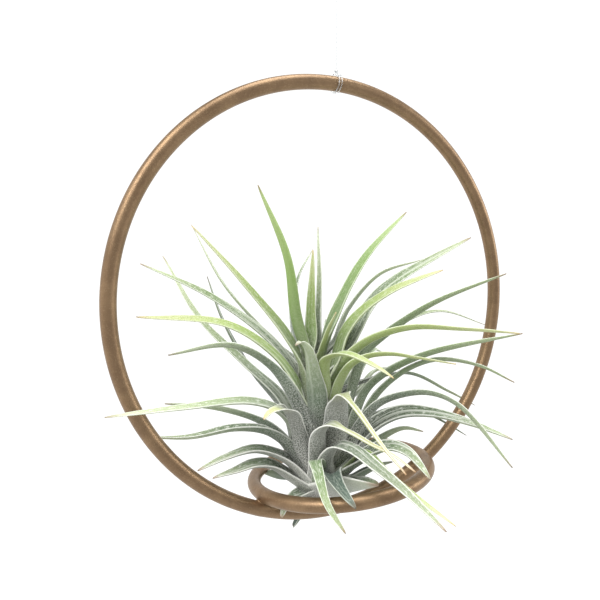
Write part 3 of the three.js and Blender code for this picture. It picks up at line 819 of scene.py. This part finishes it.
for row in (
    ("thin_right", "silver", 4.6, -25, 45,
     [(7.8, 4, 50.5), (9.8, 6, 56.8), (12.5, 8, 62.5), (24, 14, 75), (41.5, 22, 81)]),
    ("red_tip", "green", 5.8, 42, 38,
     [(9.5, -0.5, 45.5), (12.5, -0.5, 50), (15, 0, 55.3), (18.8, 2, 62.3), (23.5, 3.5, 68.4),
      (29.5, 5, 73.2), (37, 6, 78), (56.5, 8, 89)], 0.25),
    ("mid_right", "pale", 6.4, 38, 32,
     [(7, -4, 40), (8.9, -4.5, 47.5), (11.2, -4.5, 55), (17, -6, 63), (26, -9, 70), (34, -11, 74),
      (42.5, -12, 77.5)], 0.25),
    ("over_hoop_right", "green", 5.8, -35, 14,
     [(12, 2, 21), (13.5, 2, 29), (15.7, 3, 37.5), (18.7, 4, 46), (25.5, 5, 52.5), (43, 6, 64.5),
      (67.5, 2, 76)], 0.25),
    ("thin_arch", "silver", 3.5, 15, 35, [(33.5, 18, 56), (50, 26, 60), (69.5, 32, 54)]),
    ("long_arch", "pale", 6.2, -28, 26,
     [(6.5, -5, 36), (10.5, -5.5, 44), (14.6, -6, 49), (21, -8.5, 54), (32.5, -12, 58),
      (49.5, -14, 58), (67, -14, 57)]),
    ("brown_tip", "pale", 5.6, -22, 20,
     [(8, -7.5, 33), (10, -8, 39.5), (13.2, -8.3, 44.5), (18.5, -8.7, 47.5), (26, -10, 48.7),
      (34, -13, 48.3), (46.5, -16, 47)]),
    ("low_over_hoop", "green", 6.6, -35, 9,
     [(13, 0, 16.5), (15.5, 2, 23.5), (19.5, 4, 32.5), (26.5, 4, 39), (40.5, 2, 46.5), (73, 0, 55)]),
    ("white_edge_arch", "green", 6.6, -20, 5,
     [(13, 1, 11), (17, 4, 19), (23.5, 6, 30.5), (33.5, 6, 39.5), (44.5, 5, 44), (59, 4, 42.5),
      (71.5, 2, 37)]),
    ("thin_behind", "grey", 3.4, -20, 28, [(34.5, 18, 36), (53.5, 26, 27), (66, 31, 20)]),
    ("grey_behind", "silver", 5.2, -25, 20, [(17, 18, 28.5), (24, 26, 35), (35, 34, 34.5)]),
    ("right_drop", "grey", 6.2, -20, 4,
     [(12.5, -5, 11), (16.5, -6, 21), (22.5, -7, 30), (31.5, -9, 34.5), (40, -11, 35.5),
      (48, -14, 32.5), (64, -20, 14.5)]),
    ("dark_thin", "dark", 3.4, -20, 12, [(31, 16, 22.5), (45.5, 22, 18), (62, 28, 8)]),
    ("grey_spread", "grey", 8, 18, 1,
     [(13, -1, 6.5), (17, 0, 13), (22.5, 1, 19.5), (31, 0, 24.5), (41.5, -2, 25.5), (54, -5, 23.5),
      (68, -8, 19.5)], 0.2),
    ("short_dark", "grey", 6.2, -30, -2,
     [(13, 2, 2.5), (19, 4, 8.5), (25.5, 6, 13.5), (33, 6, 17.5), (40, 4, 17.5)], 0.3),
    ("speckled", "grey", 7, 20, 0,
     [(11, -8, 6), (19, -11, 13), (23.5, -13, 16.5), (27.5, -15.5, 18), (31.5, -18, 17),
      (34.5, -21, 14.5), (37.5, -24, 11.5)], 0.35),
    ("dark_stub", "dark", 7.5, -20, -3, [(14, 0.5, -1), (19.5, 1, 2.5), (25, 1, 5.5), (28.5, 1, 6.8)]),
):
    grow_leaf(*row)

# ---------------------------------------------------------------------------
# Leaves of the left side
# A fan of leaves up and out to the left, pale, green or silvery above and most
# of them grey below, where the lowest arch over the small ring and droop.

for row in (
    ("left_tall", "pale", 5.8, 30, 34,
     [(-5.3, -3.5, 43.5), (-10.5, -4, 54), (-26, -7, 74), (-42, -10, 92.5)]),
    ("left_thin", "silver", 3.9, -25, 38, [(-18.5, 10, 51.5), (-37.5, 15, 72), (-50.5, 19, 95)]),
    ("left_third", "green", 5.8, 25, 24,
     [(-5.5, -2, 32), (-9.5, -1, 42.5), (-19, 0, 53.5), (-38, -2, 67.5), (-62, -6, 79.5)]),
    ("left_bright", "pale", 6.4, 35, 20,
     [(-3.5, -6.5, 27.5), (-8, -8, 39.5), (-14.5, -10, 48.5), (-29, -18, 59.5), (-55, -28, 63)]),
    ("left_droop", "grey", 6.6, -25, 14,
     [(-4, -8.5, 23), (-8.5, -10.5, 34.5), (-15.5, -12, 44.5), (-27, -20, 52.5), (-45, -28, 51)]),
    ("left_fine", "silver", 4.8, 25, 12,
     [(-8, -0.5, 18.5), (-13.5, 3, 29.5), (-27.5, 8, 41), (-46, 12, 58), (-61.5, 16, 82.5)]),
    ("left_blue", "dark", 5, -35, 9,
     [(-8.5, 1, 14.5), (-12.5, 6, 23), (-27, 14.5, 38), (-39.5, 22, 57), (-46.5, 27, 74)]),
    ("long_left", "silver", 5.4, 25, 8,
     [(-5.5, -9.5, 13.5), (-8.5, -14, 25), (-12.5, -18, 31), (-20.5, -25, 35.5), (-38, -38, 37),
      (-57.5, -46, 36.5)]),
    ("left_back", "grey", 6.2, -25, 3,
     [(-8, -4, 8), (-11, -5, 14), (-18, -7.5, 22.5), (-32, -12.5, 29), (-50, -18, 32.5)]),
    ("left_mid", "grey", 7.6, -5, 1,
     [(-6, -8.5, 9), (-8.5, -10, 14), (-12, -12, 18.5), (-17, -14, 22), (-26, -18, 24),
      (-39.5, -24, 23), (-50.5, -30, 25)]),
    ("left_low", "felted", 7.8, 12, -3,
     [(-4.5, -8, 2.5), (-8, -10, 8.5), (-12.5, -12, 12.5), (-20, -16, 16), (-28.5, -21.5, 15.5),
      (-36.5, -27, 13.5)]),
    ("left_lowest", "felted", 7.8, 12, -5,
     [(-4, -7, -1), (-9.5, -10, 4.5), (-15, -13, 9.5), (-20, -16, 11), (-25.5, -20, 10.5),
      (-32, -25.5, 10.5)]),
    ("under_dark", "dark", 8, -45, -4, [(-9, 3, -2), (-15.5, 7, -3), (-20.5, 10, -3)]),
):
    grow_leaf(*row)

# ---------------------------------------------------------------------------
# Front leaves
# Leaves at the front, most of them grey with scales. Many rise, fold over at the
# top and hang down over the front of the small ring.

for row in (
    ("yellow_arch", "pale", 5.6, 0, 26,
     [(3.8, -9.5, 32.5), (3.8, -11.5, 37), (3.8, -13, 43.5), (4.6, -14.5, 47), (6.5, -17, 49),
      (9.5, -20.5, 50.5), (13, -24, 50.5), (20.5, -30, 48), (24.5, -33, 46)], 0.3),
    ("broad_front", "grey", 6.4, 0, 15,
     [(1.5, -10, 22), (0.6, -13.5, 29.5), (0.2, -14.5, 36.5), (-0.5, -15.5, 42), (-1.2, -17, 47.5),
      (-2, -18.5, 51.5), (-3.8, -20, 54), (-5.5, -22, 53.5)], 0.5),
    ("yellow_end", "folded", 8.4, -5, 7,
     [(8, -11, 15), (9.6, -14, 26), (9.6, -16.5, 33.8), (10, -20, 37.3), (13.4, -24.5, 34.3),
      (21.6, -33, 25), (28, -37, 18.5)], 0.4, 0.74),
    ("folded_low", "folded", 6.4, 14, 1,
     [(3.2, -12, 8.5), (3.4, -16, 16.5), (3.6, -19, 24.3), (6.2, -21.5, 28), (11.5, -25, 26.8),
      (19, -30.5, 24.5), (25, -33, 22.5), (31, -35, 18.5)], 0.4, 0.74),
    ("yellow_curl", "folded", 6, 5, 2,
     [(-2.5, -11.5, 9.5), (-5, -14, 15.5), (-6.5, -17, 23.5), (-8, -20, 29.5), (-10, -24, 33.6),
      (-13, -27, 33), (-15, -28, 31)], 0.75, 0.1),
    ("front_long", "felted", 6.4, 10, -2,
     [(5.5, -12, 5.5), (5.5, -16, 13.5), (8.5, -20, 20), (12.5, -24, 21), (19.5, -29, 17),
      (26.5, -35, 13.5), (38.5, -43, 5)], 0.3, 0.15),
    ("front_pale", "pale", 4.4, 15, 0,
     [(10.5, -9, 7), (17, -13, 15), (24, -22, 12), (32.5, -31, 8.5), (42.5, -37, 3.5)]),
    ("front_hang", "green", 4.8, 0, -4,
     [(2.5, -10, 0), (2.3, -17, 11), (1, -24.5, 16.6), (1.8, -28, 15.5), (3.3, -33, 12),
      (5.3, -37.5, 8.5), (10.5, -40.5, 2)], 0.4, 0.05),
    ("front_dark", "dark", 6.4, 0, -4,
     [(5.5, -12, 3), (6.5, -19, 9.5), (6.3, -25, 12), (8, -30.5, 11.5), (10.5, -35.5, 10.5),
      (13.5, -38.5, 8.5)], 0.55),
    ("broad_stub", "felted", 13, -12, -4,
     [(8.5, -10.5, -1), (12, -14, 2), (16, -17, 4.5), (21.5, -20.5, 7.5)], 0.6, 0, 0.12),
    ("tip_front", "felted", 5.5, 0, -4,
     [(-2.5, -9.5, -1.5), (-6, -13.5, -1), (-8.7, -17.5, -2), (-10.2, -20.5, -4.5)]),
    ("tip_below", "dark", 4.4, 0, -5, [(-3, -6, -7), (-5, -7, -11.5), (-7.5, -6, -15.5)]),
):
    grow_leaf(*row)

# ---------------------------------------------------------------------------
# Back leaves
# Five leaves, grey, green and dark, that lean back from the stem and round out
# the rosette.

for row in (
    ("back_small", "dark", 4, -30, 36, [(-9.5, 18, 51), (-12.5, 34, 62)]),
    ("back_high", "grey", 5.2, 0, 27, [(3, 14, 38), (4, 24, 48), (4, 38, 54), (2, 56, 50)]),
    ("back_right", "green", 6, 20, 14, [(8, 11, 20), (14, 18, 32), (22, 32, 42), (30, 52, 38)]),
    ("back_left", "grey", 6, -20, 10, [(-5, 11, 15), (-9, 18, 27), (-14, 34, 38), (-18, 54, 34)]),
    ("back_low", "dark", 6.4, 0, 3, [(2, 12, 7), (3, 19, 15), (6, 34, 22), (8, 52, 17)]),
):
    grow_leaf(*row)

# ---------------------------------------------------------------------------
# Studio
# A round white paper sweep: a level floor well below the plant that turns up
# into a wall. Large soft lamps stand outside the camera's way.

# Matt paper that glows by itself: full white at the back, fainter in front
white_paper = new_material("white backdrop paper")
tree = white_paper.node_tree
depth = add(tree, "SeparateXYZ", {"Vector": add(tree, "TexCoord").outputs["Object"]}).outputs["Y"]
glow = add(tree, "MapRange", {
    "Value": depth, "From Min": -0.9, "From Max": 0.1, "To Min": 0.45, "To Max": 1.0,
})
shader = add(tree, "BsdfPrincipled", {
    "Base Color": linear("#5a5a5a"), "Roughness": 0.9,
    "Emission Color": linear("#ffffff"), "Emission Strength": glow.outputs["Result"],
})
add(tree, "OutputMaterial", {"Surface": shader.outputs["BSDF"]})

# In metres, with the heights measured from the floor
FLOOR_HEIGHT = -0.42
FLOOR_RADIUS = 1.2
BEND_RADIUS = 0.6
BEND_STEPS = 14
WALL_RADIUS = 1.8
WALL_HEIGHTS = (1.4, 2.2)
SWEEP_SIDES = 96
outline = [(0.0, 0.0), (FLOOR_RADIUS / 2, 0.0), (FLOOR_RADIUS, 0.0)]
outline += [
    (FLOOR_RADIUS + BEND_RADIUS * math.sin(a), BEND_RADIUS - BEND_RADIUS * math.cos(a))
    for a in np.linspace(0.1, math.pi / 2, BEND_STEPS)
]
outline += [(WALL_RADIUS, height) for height in WALL_HEIGHTS]
points = [
    (radius * math.cos(a), radius * math.sin(a), FLOOR_HEIGHT + height)
    for radius, height in outline for a in np.linspace(0, 2 * math.pi, SWEEP_SIDES + 1)[:-1]
]
faces = ring_faces(len(outline), SWEEP_SIDES, capped=False)
sweep = mesh_object("paper_sweep", points, faces, white_paper)
sweep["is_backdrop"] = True

# Each lamp: name, place and size in metres, power in watts. All point at the
# middle of the plant.
LAMP_AIM = Vector((0, 0, -0.1))
for name, place, size, power in (
    ("key_lamp", (-0.75, -0.45, 0.75), 0.7, 13),
    ("fill_lamp", (0.9, -0.45, 0.2), 0.5, 4),
    ("top_lamp", (0.15, -0.15, 1.0), 0.8, 12),
):
    lamp = bpy.data.objects.new(name, bpy.data.lights.new(name, "AREA"))
    lamp.data.size = size
    lamp.data.energy = power
    lamp.location = place
    lamp.rotation_euler = (LAMP_AIM - Vector(place)).to_track_quat("-Z", "Y").to_euler()
    bpy.context.scene.collection.objects.link(lamp)

# A faint even light from all round
world = bpy.data.worlds.new("room")
world.use_nodes = True
world.node_tree.nodes["Background"].inputs["Color"].default_value = linear("#ffffff")
world.node_tree.nodes["Background"].inputs["Strength"].default_value = 0.12
bpy.context.scene.world = world
bpy.context.scene.view_settings.view_transform = "Standard"

# The lowest and the highest corner of all the shown meshes and curves but the backdrop
low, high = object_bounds()
